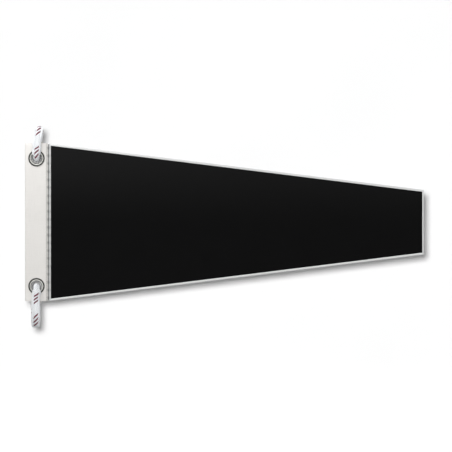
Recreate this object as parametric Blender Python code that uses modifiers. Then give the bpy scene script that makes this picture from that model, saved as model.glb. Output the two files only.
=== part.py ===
"""A tapered signal pennant: a stiff header band with two eyelets and rope loops, and a black
cloth field with white edge tapes that swings on the header's seam.

The pennant lies in the XZ plane. X runs from the hoist to the fly, Z runs up the hoist, and
the front face looks along -Y. The origin is the middle of the hoist edge. Units are metres.
"""

from math import cos, hypot, pi, radians, sin

import bmesh
import bpy
from mathutils import Vector

MODEL_NAME = "signal_pennant"

# Driving dimensions
HOIST_HEIGHT = 0.200
FIELD_LENGTH = 0.476
FLY_HEIGHT = 0.082
EYELET_FROM_HOIST = 0.0145
EYELET_FROM_END = 0.019
SEAM_ROOM = 0.0041

# Header sandwich
CANVAS_THICKNESS = 0.0006
HEADER_THICKNESS = 0.0024
CORE_THICKNESS = 0.0006
CORE_WIDTH = 0.0210
CORE_END_INSET = 0.003
ALLOWANCE_THICKNESS = 0.0006
ALLOWANCE_END_INSET = 0.001

# Field cloth and its edge tapes
CLOTH_THICKNESS = 0.0004
TAPE_THICKNESS = 0.0004
TAPE_WIDTH = 0.0023
TAPE_MITRE_TRIM = 0.00022

# Eyelets
HOLE_RADIUS = 0.00665
EYELET_METAL = 0.0005
FLANGE_WIDTH = 0.00375
FLANGE_LAND = 0.0004
WASHER_THICKNESS = 0.00035

# Rope loops
ROPE_DIAMETER = 0.011
BINDING_LENGTH = 0.009
BINDING_WALL = 0.0007

# Threads
THREAD_RADIUS = 0.00022
SEAM_STITCH_PITCH = 0.0058
SEAM_STITCH_WIDTH = 0.0020
SEAM_STITCH_INSET = 0.0009
EDGE_STITCH_PITCH = 0.0120
EDGE_STITCH_WIDTH = 0.0008

# Clearances
GAP = 0.0003
SWING_CLEARANCE = 0.00025
OVERCUT = 0.002

# Fineness
RING_STEPS = 32
ARC_STEPS = 4
ROPE_POINTS = 44
HOLE_SIDES = 32

# Sizes that follow. The header reaches past the eyelets' flanges, to leave room for its seam.
FLANGE_RADIUS = HOLE_RADIUS + FLANGE_WIDTH
HEADER_WIDTH = EYELET_FROM_HOIST + FLANGE_RADIUS + SEAM_ROOM
HEADER_FACE = HEADER_THICKNESS / 2
TAPE_FACE = CLOTH_THICKNESS / 2 + GAP + TAPE_THICKNESS
FOLD_X = HEADER_WIDTH + TAPE_FACE + SWING_CLEARANCE
FIELD_START = FOLD_X + GAP
FIELD_END = HEADER_WIDTH + FIELD_LENGTH
EDGE_SLOPE = (HOIST_HEIGHT - FLY_HEIGHT) / 2 / FIELD_LENGTH
EYELET_Z = HOIST_HEIGHT / 2 - EYELET_FROM_END
FLANGE_SEAT = HEADER_FACE + GAP
FLARE_RADIUS = FLANGE_SEAT + WASHER_THICKNESS + GAP + GAP / 2 + EYELET_METAL
FLARE_CENTRE = HOLE_RADIUS + FLARE_RADIUS
BARREL_AT_SEAT = FLARE_CENTRE - ((FLARE_RADIUS - EYELET_METAL) ** 2 - FLANGE_SEAT**2) ** 0.5
CLOTH_HOLE_RADIUS = BARREL_AT_SEAT + GAP
ROPE_RADIUS = ROPE_DIAMETER / 2
ROPE_REST = HOLE_RADIUS - ROPE_RADIUS - GAP
ROPE_BEND = FLARE_RADIUS + GAP + ROPE_RADIUS

# Each loop's route from its join, down the rear, through the hole, up the front and over.
# The values are sideways lean, depth and reach from the eyelet, in metres. They are chosen
# by hand for this rope, except where the rope turns through the hole.
UPPER_REAR_RISE = [(0.0011, 0.0092, 0.0170), (0.0006, 0.0088, 0.0130)]
UPPER_FRONT_AND_BIGHT = [
    (0.0004, -0.0088, 0.0130),
    (0.0005, -0.0091, 0.0190),
    (0.0012, -0.0092, 0.0250),
    (0.0021, -0.0082, 0.0300),
    (0.0032, -0.0051, 0.0341),
    (0.0037, 0.0000, 0.0357),
    (0.0035, 0.0051, 0.0341),
    (0.0027, 0.0084, 0.0300),
    (0.0019, 0.0094, 0.0245),
    (0.0012, 0.0093, 0.0178),
]
LOWER_REAR_RISE = [(-0.0004, 0.0092, 0.0170), (-0.0002, 0.0088, 0.0130)]
LOWER_FRONT_AND_BIGHT = [
    (-0.0006, -0.0088, 0.0130),
    (-0.0008, -0.0091, 0.0200),
    (-0.0008, -0.0093, 0.0280),
    (-0.0007, -0.0093, 0.0360),
    (-0.0007, -0.0084, 0.0410),
    (-0.0008, -0.0052, 0.0452),
    (-0.0010, 0.0000, 0.0468),
    (-0.0012, 0.0052, 0.0452),
    (-0.0013, 0.0085, 0.0410),
    (-0.0012, 0.0094, 0.0355),
    (-0.0009, 0.0094, 0.0265),
    (-0.0005, 0.0093, 0.0178),
]


def clear_scene():
    for old in list(bpy.data.objects):
        bpy.data.objects.remove(old, do_unlink=True)


def new_collection(name):
    collection = bpy.data.collections.new(name)
    bpy.context.scene.collection.children.link(collection)
    return collection


def make_material(name, colour, roughness, metallic=0.0):
    material = bpy.data.materials.new(name)
    material.use_nodes = True
    shader = material.node_tree.nodes["Principled BSDF"]
    shader.inputs["Base Color"].default_value = (*colour, 1.0)
    shader.inputs["Roughness"].default_value = roughness
    shader.inputs["Metallic"].default_value = metallic
    return material


def add_object(collection, name, data, material=None):
    obj = bpy.data.objects.new(name, data)
    collection.objects.link(obj)
    if material:
        data.materials.append(material)
    return obj


def mesh_from_curve(collection, curve_object, material):
    """Replaces a curve object with the mesh it makes, its caps welded to its sides."""
    bpy.context.view_layer.update()
    graph = bpy.context.evaluated_depsgraph_get()
    mesh = bpy.data.meshes.new_from_object(curve_object.evaluated_get(graph))
    solid = bmesh.new()
    solid.from_mesh(mesh)
    bmesh.ops.remove_doubles(solid, verts=solid.verts, dist=0.000001)
    bmesh.ops.recalc_face_normals(solid, faces=solid.faces)
    solid.to_mesh(mesh)
    solid.free()
    mesh.materials.clear()
    name, placement = curve_object.name, curve_object.matrix_world.copy()
    bpy.data.objects.remove(curve_object, do_unlink=True)
    obj = add_object(collection, name, mesh, material)
    obj.matrix_world = placement
    return obj


def make_plate(collection, name, outline, thickness, material=None):
    """A flat plate in the XZ plane, centred on Y, from the (x, z) corners of its outline."""
    curve = bpy.data.curves.new(name, "CURVE")
    curve.dimensions = "2D"
    curve.fill_mode = "BOTH"
    curve.extrude = thickness / 2
    spline = curve.splines.new("POLY")
    spline.points.add(len(outline) - 1)
    for point, (x, z) in zip(spline.points, outline):
        point.co = (x, z, 0, 1)
    spline.use_cyclic_u = True
    plate = add_object(collection, name, curve)
    plate.rotation_euler = (pi / 2, 0, 0)
    return mesh_from_curve(collection, plate, material)


def rectangle(left, right, top):
    """A rectangle's (x, z) corners, as high above the middle as it is deep below."""
    return [(left, -top), (right, -top), (right, top), (left, top)]


def hide_cutter(cutter):
    cutter.hide_render = True
    cutter.display_type = "WIRE"


def cut(obj, cutter):
    boolean = obj.modifiers.new("cut " + cutter.name, "BOOLEAN")
    boolean.operation = "DIFFERENCE"
    boolean.solver = "EXACT"
    boolean.object = cutter


def field_outline(inset):
    """The field's four corners, moved in from its outer edge by the inset."""
    left = FIELD_START + inset
    right = FIELD_END - inset
    drop = inset * hypot(1, EDGE_SLOPE)

    def half_height(x):
        return HOIST_HEIGHT / 2 - EDGE_SLOPE * (x - HEADER_WIDTH) - drop

    return [
        (left, -half_height(left)),
        (right, -half_height(right)),
        (right, half_height(right)),
        (left, half_height(left)),
    ]


def eyelet_holes(cutters):
    """One cutter for each hole through the header's cloth."""
    holes = []
    for name, z in (("upper", EYELET_Z), ("lower", -EYELET_Z)):
        bpy.ops.mesh.primitive_cylinder_add(
            vertices=HOLE_SIDES,
            radius=CLOTH_HOLE_RADIUS,
            depth=HEADER_THICKNESS + 2 * OVERCUT,
            location=(EYELET_FROM_HOIST, 0, z),
            rotation=(pi / 2, 0, 0),
        )
        hole = bpy.context.object
        hole.name = name + "_eyelet_hole"
        for owner in list(hole.users_collection):
            owner.objects.unlink(hole)
        cutters.objects.link(hole)
        hide_cutter(hole)
        holes.append(hole)
    return holes


def make_header(parts, cutters, canvas, webbing, cloth):
    """The folded canvas band, the webbing inside it, and the field's hidden seam allowance."""
    half = HOIST_HEIGHT / 2
    holes = eyelet_holes(cutters)
    band = make_plate(
        parts, "header_band", rectangle(0, HEADER_WIDTH, half), HEADER_THICKNESS, canvas
    )
    slot_height = HEADER_THICKNESS - 2 * CANVAS_THICKNESS
    slot_outline = rectangle(CANVAS_THICKNESS, HEADER_WIDTH + OVERCUT, half + OVERCUT)
    slot = make_plate(cutters, "header_slot", slot_outline, slot_height)
    hide_cutter(slot)
    core_left = CANVAS_THICKNESS + GAP
    core_right = core_left + CORE_WIDTH
    core = make_plate(
        parts,
        "header_stiffener",
        rectangle(core_left, core_right, half - CORE_END_INSET),
        CORE_THICKNESS,
        webbing,
    )
    allowance = make_plate(
        parts,
        "field_seam_allowance",
        rectangle(core_right + GAP, HEADER_WIDTH, half - ALLOWANCE_END_INSET),
        ALLOWANCE_THICKNESS,
        cloth,
    )
    cut(band, slot)
    for hole in holes:
        cut(band, hole)
        cut(core, hole)
        cut(allowance, hole)


def trimmed_strip(outer_start, outer_end, inner_start, inner_end):
    """A strip between two parallel edges, its mitred ends drawn back for clearance."""
    along = (Vector(outer_end) - Vector(outer_start)).normalized() * TAPE_MITRE_TRIM
    corners = (
        Vector(outer_start) + along,
        Vector(outer_end) - along,
        Vector(inner_end) - along,
        Vector(inner_start) + along,
    )
    return [tuple(corner) for corner in corners]


def make_field(parts, cutters, black, white, pivot):
    """The black cloth and the four white tapes folded over its edges."""
    hem = TAPE_THICKNESS + GAP
    panel = make_plate(parts, "field_panel", field_outline(hem), CLOTH_THICKNESS, black)
    groove = make_plate(
        cutters, "tape_groove", field_outline(TAPE_THICKNESS), CLOTH_THICKNESS + 2 * GAP
    )
    hide_cutter(groove)
    outer, inner = field_outline(0), field_outline(TAPE_WIDTH)
    pieces = [panel]
    for index, side in enumerate(("bottom", "fly", "top", "hoist")):
        after = (index + 1) % len(outer)
        strip = trimmed_strip(outer[index], outer[after], inner[index], inner[after])
        tape = make_plate(parts, side + "_edge_tape", strip, 2 * TAPE_FACE, white)
        cut(tape, groove)
        pieces.append(tape)
    for piece in pieces:
        hang_on(piece, pivot)


def hang_on(piece, pivot):
    """Parents a piece to its joint's empty and leaves it where it is."""
    bpy.context.view_layer.update()
    piece.parent = pivot
    piece.matrix_parent_inverse = pivot.matrix_world.inverted()


def make_pivot(name, location):
    pivot = bpy.data.objects.new(name, None)
    pivot.location = location
    pivot.empty_display_size = HEADER_WIDTH / 2
    bpy.context.scene.collection.objects.link(pivot)
    bpy.context.view_layer.update()
    return pivot


def arc(centre_r, centre_z, radius, start, end):
    """Points round an arc in a turned profile, from one angle to another in degrees."""
    points = []
    for step in range(ARC_STEPS + 1):
        angle = radians(start + (end - start) * step / ARC_STEPS)
        points.append((centre_r + radius * cos(angle), centre_z + radius * sin(angle)))
    return points


def eyelet_profile():
    """The rolled rim, barrel and rear lip, as radius and height towards the front."""
    inner_flare = FLARE_RADIUS - EYELET_METAL
    roll = FLANGE_RADIUS - FLARE_CENTRE - FLANGE_LAND
    roll_centre = FLARE_RADIUS - roll
    land_end = FLARE_CENTRE + FLANGE_LAND
    outer_roll = arc(land_end, roll_centre, roll, 90, 0)
    rim_foot = [(FLANGE_RADIUS, FLANGE_SEAT), (FLARE_CENTRE, FLANGE_SEAT)]
    hidden_side = arc(FLARE_CENTRE, 0, inner_flare, 125, 270)
    mouth = arc(FLARE_CENTRE, 0, FLARE_RADIUS, 270, 180) + arc(FLARE_CENTRE, 0, FLARE_RADIUS, 180, 90)[1:]
    return outer_roll + rim_foot + hidden_side + mouth


def make_turned(parts, name, profile, centre, material):
    """A ring turned about an axis along Y, from (radius, height towards the front) points."""
    mesh = bpy.data.meshes.new(name)
    points = [(radius, 0, height) for radius, height in profile]
    edges = [(i, (i + 1) % len(points)) for i in range(len(points))]
    mesh.from_pydata(points, edges, [])
    ring = add_object(parts, name, mesh, material)
    ring.location = centre
    ring.rotation_euler = (pi / 2, 0, 0)
    screw = ring.modifiers.new("turn", "SCREW")
    screw.axis = "Z"
    screw.steps = RING_STEPS
    screw.render_steps = RING_STEPS
    screw.use_merge_vertices = True
    screw.merge_threshold = 0.00001
    screw.use_smooth_shade = True
    return ring


def make_eyelet(parts, side, z, metal):
    """The front piece, whose barrel goes through the header, and the washer behind it."""
    centre = (EYELET_FROM_HOIST, 0, z)
    make_turned(parts, side + "_eyelet", eyelet_profile(), centre, metal)
    inner = CLOTH_HOLE_RADIUS + GAP
    near = -FLANGE_SEAT
    far = near - WASHER_THICKNESS
    washer = [(FLANGE_RADIUS, near), (FLANGE_RADIUS, far), (inner, far), (inner, near)]
    make_turned(parts, side + "_eyelet_washer", washer, centre, metal)


def through_hole():
    """The rope's half turn through the eyelet, from the rear to the front."""
    points = []
    for degrees in (0, 30, 60, 90, 120, 150, 180):
        angle = radians(degrees)
        depth = ROPE_BEND * cos(angle)
        reach = ROPE_REST + ROPE_BEND * (1 - sin(angle))
        points.append((0.0, depth, reach))
    return points


def smooth_route(knots, count):
    """Evenly counted points on a Catmull-Rom curve through the knots."""
    ends = [2 * knots[0] - knots[1]] + knots + [2 * knots[-1] - knots[-2]]
    spans = len(knots) - 1
    route = []
    for step in range(count):
        place = step * spans / (count - 1)
        span = min(int(place), spans - 1)
        t = place - span
        a, b, c, d = ends[span : span + 4]
        curve = b * 2 + (c - a) * t + (a * 2 - b * 5 + c * 4 - d) * t**2
        curve += (b * 3 - a - c * 3 + d) * t**3
        route.append(curve / 2)
    return route


def make_tube(parts, name, points, radius, rounding, material):
    """A round rod along the points, closed at both ends."""
    curve = bpy.data.curves.new(name, "CURVE")
    curve.dimensions = "3D"
    curve.bevel_depth = radius
    curve.bevel_resolution = rounding
    curve.use_fill_caps = True
    spline = curve.splines.new("POLY")
    spline.points.add(len(points) - 1)
    for target, point in zip(spline.points, points):
        target.co = (*point, 1)
    return add_object(parts, name, curve, material)


def make_loop(parts, side, centre_z, up, rear_rise, front_and_bight, rope, twine):
    """One rope loop through its eyelet, and the binding over the butted ends behind."""
    pivot = make_pivot(side + "_loop_pivot", (EYELET_FROM_HOIST, 0, centre_z))
    local = rear_rise + through_hole() + front_and_bight
    knots = [Vector((EYELET_FROM_HOIST + x, y, centre_z + up * z)) for x, y, z in local]
    route = smooth_route(knots, ROPE_POINTS)
    loop = make_tube(parts, side + "_loop_rope", route, ROPE_RADIUS, 2, rope)
    hang_on(loop, pivot)
    join = (route[0] + route[-1]) / 2
    along = (route[0] - route[-1]).normalized()
    inner = ROPE_RADIUS + 2 * GAP
    outer = inner + BINDING_WALL
    half = BINDING_LENGTH / 2
    sleeve = [(outer, half), (outer, -half), (inner, -half), (inner, half)]
    binding = make_turned(parts, side + "_loop_binding", sleeve, join, twine)
    binding.rotation_euler = along.to_track_quat("Z", "Y").to_euler()
    hang_on(binding, pivot)


def zigzag(start, end, pitch, width, depth):
    """Corners of a zigzag from one (x, z) point to another, on a face at the given depth."""
    run = Vector(end) - Vector(start)
    count = max(2, round(run.length / pitch * 2))
    side = Vector((-run.y, run.x)).normalized() * width / 2
    corners = []
    for step in range(count + 1):
        sign = 1 if step % 2 else -1
        corner = Vector(start) + run * step / count + side * sign
        corners.append((corner.x, depth, corner.y))
    return corners


def make_threads(parts, thread, pivot):
    """The seam's threads on the header, and those along the field's edge tapes."""
    seam_x = HEADER_WIDTH - SEAM_STITCH_INSET - SEAM_STITCH_WIDTH / 2
    seam_end = HOIST_HEIGHT / 2 - SEAM_STITCH_PITCH / 2
    seam_depth = HEADER_FACE + GAP + THREAD_RADIUS
    edge_depth = TAPE_FACE + GAP + THREAD_RADIUS
    corners = field_outline(TAPE_WIDTH - EDGE_STITCH_WIDTH)
    sides = ("bottom", "fly", "top", "hoist")
    for face, sign in (("front", -1), ("rear", 1)):
        points = zigzag(
            (seam_x, -seam_end),
            (seam_x, seam_end),
            SEAM_STITCH_PITCH,
            SEAM_STITCH_WIDTH,
            sign * seam_depth,
        )
        make_tube(parts, f"header_seam_thread_{face}", points, THREAD_RADIUS, 0, thread)
        for index, side in enumerate(sides):
            start, end = corners[index], corners[(index + 1) % len(corners)]
            back = (Vector(end) - Vector(start)).normalized() * TAPE_WIDTH
            points = zigzag(
                Vector(start) + back,
                Vector(end) - back,
                EDGE_STITCH_PITCH,
                EDGE_STITCH_WIDTH,
                sign * edge_depth,
            )
            name = f"{side}_tape_thread_{face}"
            hang_on(make_tube(parts, name, points, THREAD_RADIUS, 0, thread), pivot)


def shade(parts):
    for obj in parts.objects:
        if obj.type == "MESH":
            obj.data.shade_smooth()
            obj.data.set_sharp_from_angle(angle=radians(35))


def main():
    clear_scene()
    parts = new_collection(MODEL_NAME)
    cutters = new_collection(MODEL_NAME + "_cutters")
    canvas = make_material("header_canvas", (0.80, 0.79, 0.75), 0.85)
    webbing = make_material("stiffener_webbing", (0.72, 0.70, 0.64), 0.9)
    black = make_material("black_cloth", (0.012, 0.012, 0.012), 0.7)
    white = make_material("white_tape", (0.75, 0.76, 0.76), 0.8)
    thread = make_material("white_thread", (0.70, 0.69, 0.67), 0.7)
    metal = make_material("eyelet_metal", (0.30, 0.31, 0.29), 0.35, 1.0)
    rope = make_material("white_rope", (0.82, 0.84, 0.86), 0.7)
    twine = make_material("binding_twine", (0.78, 0.77, 0.72), 0.75)
    make_header(parts, cutters, canvas, webbing, white)
    fold = make_pivot("fly_fold", (FOLD_X, 0, 0))
    make_field(parts, cutters, black, white, fold)
    for side, up in (("upper", 1), ("lower", -1)):
        make_eyelet(parts, side, up * EYELET_Z, metal)
    make_loop(parts, "upper", EYELET_Z, 1, UPPER_REAR_RISE, UPPER_FRONT_AND_BIGHT, rope, twine)
    make_loop(parts, "lower", -EYELET_Z, -1, LOWER_REAR_RISE, LOWER_FRONT_AND_BIGHT, rope, twine)
    make_threads(parts, thread, fold)
    shade(parts)


main()
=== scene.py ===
"""The looks of a tapered signal pennant: woven header, turned eyelets, braided rope loops, and a
black cloth field with sewn white edge tapes.

X runs from the hoist to the fly, Z runs up the hoist, and the front looks along -Y, in metres.
"""

from math import cos, pi, radians, sin, tau

import bmesh
import bpy
import numpy as np
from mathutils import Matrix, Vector


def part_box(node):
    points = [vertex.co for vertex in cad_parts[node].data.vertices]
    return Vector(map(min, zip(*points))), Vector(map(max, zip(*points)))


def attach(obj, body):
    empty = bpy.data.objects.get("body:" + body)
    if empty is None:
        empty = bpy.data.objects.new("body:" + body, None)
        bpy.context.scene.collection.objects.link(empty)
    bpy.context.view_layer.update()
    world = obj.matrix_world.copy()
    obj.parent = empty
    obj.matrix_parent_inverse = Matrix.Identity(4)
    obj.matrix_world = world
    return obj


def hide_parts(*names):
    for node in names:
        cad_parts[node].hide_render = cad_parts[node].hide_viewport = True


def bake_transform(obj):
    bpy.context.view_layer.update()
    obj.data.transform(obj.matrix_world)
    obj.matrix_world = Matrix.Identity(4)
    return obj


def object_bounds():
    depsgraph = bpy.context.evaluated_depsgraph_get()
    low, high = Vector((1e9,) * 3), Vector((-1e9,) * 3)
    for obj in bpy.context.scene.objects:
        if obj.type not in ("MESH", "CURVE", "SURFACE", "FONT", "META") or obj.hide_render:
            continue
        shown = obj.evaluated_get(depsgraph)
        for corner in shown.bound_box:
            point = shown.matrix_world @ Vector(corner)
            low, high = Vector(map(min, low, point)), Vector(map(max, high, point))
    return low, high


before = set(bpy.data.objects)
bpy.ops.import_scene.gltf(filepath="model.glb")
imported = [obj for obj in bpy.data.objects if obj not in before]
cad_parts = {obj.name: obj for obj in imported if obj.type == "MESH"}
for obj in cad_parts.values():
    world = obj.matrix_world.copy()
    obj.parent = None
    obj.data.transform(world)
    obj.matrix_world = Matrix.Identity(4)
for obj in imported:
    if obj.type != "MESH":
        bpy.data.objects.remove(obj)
cad_low, cad_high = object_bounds()

# Sizes taken from the frame
BAND_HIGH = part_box("header_band")[1]
STRIP_LOW, STRIP_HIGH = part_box("hoist_edge_tape")
FLY_TAPE_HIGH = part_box("fly_edge_tape")[1]
PANEL_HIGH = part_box("field_panel")[1]
ALLOWANCE_LOW, ALLOWANCE_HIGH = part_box("field_seam_allowance")
SEAM_LOW, SEAM_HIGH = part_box("header_seam_thread_rear")
EYELET_LOW, EYELET_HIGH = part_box("upper_eyelet")
WASHER_LOW, WASHER_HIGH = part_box("upper_eyelet_washer")

HEADER_RIGHT = BAND_HIGH.x
HEADER_FACE = BAND_HIGH.y
HALF_HOIST = BAND_HIGH.z
FIELD_LEFT = STRIP_LOW.x
FIELD_RIGHT = FLY_TAPE_HIGH.x
TAPE_WIDTH = STRIP_HIGH.x - STRIP_LOW.x
CLOTH_FACE = PANEL_HIGH.y
EYELET_X = (EYELET_LOW.x + EYELET_HIGH.x) / 2
EYELET_Z = (EYELET_LOW.z + EYELET_HIGH.z) / 2
FLANGE_RADIUS = (EYELET_HIGH.x - EYELET_LOW.x) / 2
FLANGE_TOP = -EYELET_LOW.y
FLANGE_SEAT = WASHER_LOW.y
WASHER_BACK = WASHER_HIGH.y
SEAM_X = (SEAM_LOW.x + SEAM_HIGH.x) / 2

# Header canvas
PLY = 0.0006
HEADER_STATIONS = 241
END_TAPER = 0.0022
END_PINCH = 0.42
GROOVE_DEPTH = 0.00030
GROOVE_WIDTH = 0.00085
LIP_RISE = 0.00012
PULL_HEIGHT = 0.00010
PULL_COUNT = 9
PULL_REACH = 0.0045
LIP_INSET = 0.0001
SEAM_FINE_REACH = 0.0030
SEAM_COARSE_START = 0.0036
LEAST_HALF_GAP = 0.00012
# Painted shade on the canvas: in the seam's groove, along the header's edge and at the stitches'
# pulls
GROOVE_SHADE = 0.55
GROOVE_SHADE_WIDTH = 0.0006
EDGE_SHADE = 0.62
PULL_SHADE = 0.30
PULL_SHADE_START = 0.0010
PULL_SHADE_FADE = 0.0022
MOST_SHADE = 0.9

# Seam stitches and the puckers between them
SEAM_PITCH = 0.0050
PUCKER_HEIGHT = 0.00022
PUCKER_REACH = 0.0050
PINCH_WIDTH = 0.0020
THREAD_RADIUS = 0.00021
SEAM_HALF_WIDTH = 0.0010
SEAM_UNEVENNESS = 0.00010

# Field and tapes. The long tapes show wider than the hoist's, and the fly's narrower.
FIELD_INSET = 0.0007
FIELD_FINE_REACH = 0.020
FIELD_COARSE_START = 0.023
ALLOWANCE_REACH = 0.0008
ALLOWANCE_INSET = 0.0008
# Painted shade on the seam allowance in the gap beside the header's edge and on the hoist strip,
# deeper at the stitches' pulls
ALLOWANCE_SHADE = 0.78
ALLOWANCE_PULL_SHADE = 0.30
STRIP_SHADE = 0.22
STRIP_PULL_SHADE = 0.32
MITRE_TRIM = 0.00022
HEM_EXTRA = 0.0003
FLY_TAPE_LESS = 0.0004
HEM_WIDTH = TAPE_WIDTH + HEM_EXTRA
FLY_TAPE_WIDTH = TAPE_WIDTH - FLY_TAPE_LESS
WAVE_HEIGHT = 0.0020
TAPE_FACE = 0.00072
TAPE_EDGE_FACE = 0.00046
TAPE_LINING = 0.00021
TAPE_FOLD_DEPTH = 0.00042
TAPE_SINK_START = 0.0012
TAPE_END_TRIM = 0.00006
TAPE_SWELL = 0.10
TAPE_STEP = 0.0015
TAPE_STITCH = 0.0030
TAPE_STITCH_WIDTH = 0.0007
TAPE_STITCH_INSET = 0.0009
BLEND_END = 0.052

# Eyelets
FLARE_RADIUS = FLANGE_TOP
METAL = 0.0005
HOLE_RADIUS = 0.00665
FLARE_CENTRE = HOLE_RADIUS + FLARE_RADIUS
FLANGE_LAND = 0.0004
FOOT_INSET = 0.0001
REAR_LIP_TURN = 0.00025
WASHER_BORE = 0.0083
TURN_STEPS = 96
ARC_STEPS = 14
CANVAS_HOLE = 0.0080

# Rope
ROPE_DIAMETER = 0.011
ROPE_CLEARANCE = 0.0003
ROPE_POINTS = 44
ROPE_STATIONS = 176
CARRIERS = 6
YARNS = 2
YARN_RADIUS = 0.00086
YARN_FLATNESS = 0.82
YARN_SIDES = 8
BRAID_SWING = 0.00055
BRAID_LEAD = 0.0256
BRAID_RADIUS = ROPE_DIAMETER / 2 - YARN_RADIUS * YARN_FLATNESS - BRAID_SWING
BRAID_SWELL = 0.00045
BRAID_SQUEEZE = 0.0001
HOLE_STRETCH = 0.8 * (FLANGE_TOP + ROPE_CLEARANCE + ROPE_DIAMETER / 2)
# Painted shade on the rope's sides inside the eyelet, standing in for the shadow in the hole
THROAT_SHADE_START = 0.0033
THROAT_SHADE_FADE = 0.0013
THROAT_SHADE_TOP = 0.0050
THROAT_SHADE_DEPTH = 0.0030
THROAT_SHADE_STRENGTH = 0.9
# Painted shade on each yarn's sides, where it dives under the others, and on the core seen between
# yarns
YARN_SIDE_SHADE = 0.24
YARN_UNDER_SHADE = 0.10
CORE_SHADE = 0.6
DARKEST_SHADE = 0.92
CORE_GAP = 0.0001
CORE_SIDES = 20
FRONT_RUN_DEPTH = 0.006
TRACER_SIDE = 0.25
FOLD_SQUARENESS = 3.0
FOLD_REACH = 0.010
ROPE_REST = HOLE_RADIUS - ROPE_DIAMETER / 2 - ROPE_CLEARANCE
ROPE_BEND = FLARE_RADIUS + ROPE_CLEARANCE + ROPE_DIAMETER / 2
UPPER_TRACER_REACH = 0.0099
LOWER_TRACER_REACH = 0.0170

# Binding
BINDING_LENGTH = 0.009
TWINE_RADIUS = 0.00042
TWINE_PITCH = 2.05 * TWINE_RADIUS
TWINE_STEPS = 22
TWINE_SIDES = 8
TWINE_BED = 0.75 * TWINE_RADIUS
TWINE_UNEVENNESS = 0.00004
TWINE_TUCK = 1.5
TWINE_TUCK_ANGLE = 1.2

# Stage
FLOOR_DROP = 0.32
COVE_RADIUS = 0.28
WALL_DISTANCE = 1.3
STAGE_REACH = 16.0
SHADOW_OFFSET = (0.0046, 0.0058)
SHADOW_BLUR = 0.0112
SKY_STRENGTH = 0.135
KEY_STRENGTH = 0.78
TOP_LIGHT_POWER = 0.25
VIEW_WIDTH = 1.1335
VIEW_OFFSET = (0.0020, 0.0008)
CAMERA_DISTANCE = 1.2
# Each sun's name, the direction it shines from, its strength over pi, and its width
SUNS = [
    ("side_key", (-0.42, -1.0, 0.60), 0.13, radians(14)),
    ("overhead", (-0.05, 0.05, 1.0), 0.45, radians(30)),
    ("rear_key", (0.4, 1.0, 0.4), 0.62, radians(30)),
    ("hoist_fill", (-1.0, 0.5, 0.1), 0.30, radians(30)),
    ("fly_fill", (1.0, 0.4, 0.1), 0.22, radians(30)),
]

# Each loop's route from its join, down the rear, through the hole, up the front and over:
# sideways lean, depth and reach from the eyelet. They repeat the CAD model's own points.
UPPER_REAR_RISE = [(0.0011, 0.0092, 0.0170), (0.0006, 0.0088, 0.0130)]
UPPER_FRONT_AND_BIGHT = [
    (0.0004, -0.0088, 0.0130),
    (0.0005, -0.0091, 0.0190),
    (0.0012, -0.0092, 0.0250),
    (0.0021, -0.0082, 0.0300),
    (0.0032, -0.0051, 0.0341),
    (0.0037, 0.0000, 0.0357),
    (0.0035, 0.0051, 0.0341),
    (0.0027, 0.0084, 0.0300),
    (0.0019, 0.0094, 0.0245),
    (0.0012, 0.0093, 0.0178),
]
LOWER_REAR_RISE = [(-0.0004, 0.0092, 0.0170), (-0.0002, 0.0088, 0.0130)]
LOWER_FRONT_AND_BIGHT = [
    (-0.0006, -0.0088, 0.0130),
    (-0.0008, -0.0091, 0.0200),
    (-0.0008, -0.0093, 0.0280),
    (-0.0007, -0.0093, 0.0360),
    (-0.0007, -0.0084, 0.0410),
    (-0.0008, -0.0052, 0.0452),
    (-0.0010, 0.0000, 0.0468),
    (-0.0012, 0.0052, 0.0452),
    (-0.0013, 0.0085, 0.0410),
    (-0.0012, 0.0094, 0.0355),
    (-0.0009, 0.0094, 0.0265),
    (-0.0005, 0.0093, 0.0178),
]

chance = np.random.default_rng(7)
PINCHES = np.arange(-HALF_HOIST + 0.004, HALF_HOIST - 0.003, SEAM_PITCH)
PINCHES = PINCHES + chance.normal(0, 0.00035, len(PINCHES))
PINCH_DEPTHS = np.where(np.arange(len(PINCHES)) % 2 == 0, 1.0, 0.25)
PINCH_DEPTHS = PINCH_DEPTHS * chance.uniform(0.75, 1.15, len(PINCHES))


# Meshes


def swept(rings, looped=False, capped=True):
    """Points, faces and UVs of the skin over closed rings that all have the same count."""
    rings = np.asarray(rings, float)
    count, around = rings.shape[:2]
    index = np.arange(count * around).reshape(count, around)
    here = index if looped else index[:-1]
    ahead = np.roll(index, -1, axis=0) if looped else index[1:]
    quads = np.stack([here, np.roll(here, -1, 1), np.roll(ahead, -1, 1), ahead], axis=-1)
    faces = quads.reshape(-1, 4).tolist()
    if capped and not looped:
        faces.append(index[0][::-1].tolist())
        faces.append(index[-1].tolist())
    return rings.reshape(-1, 3), faces


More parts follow.
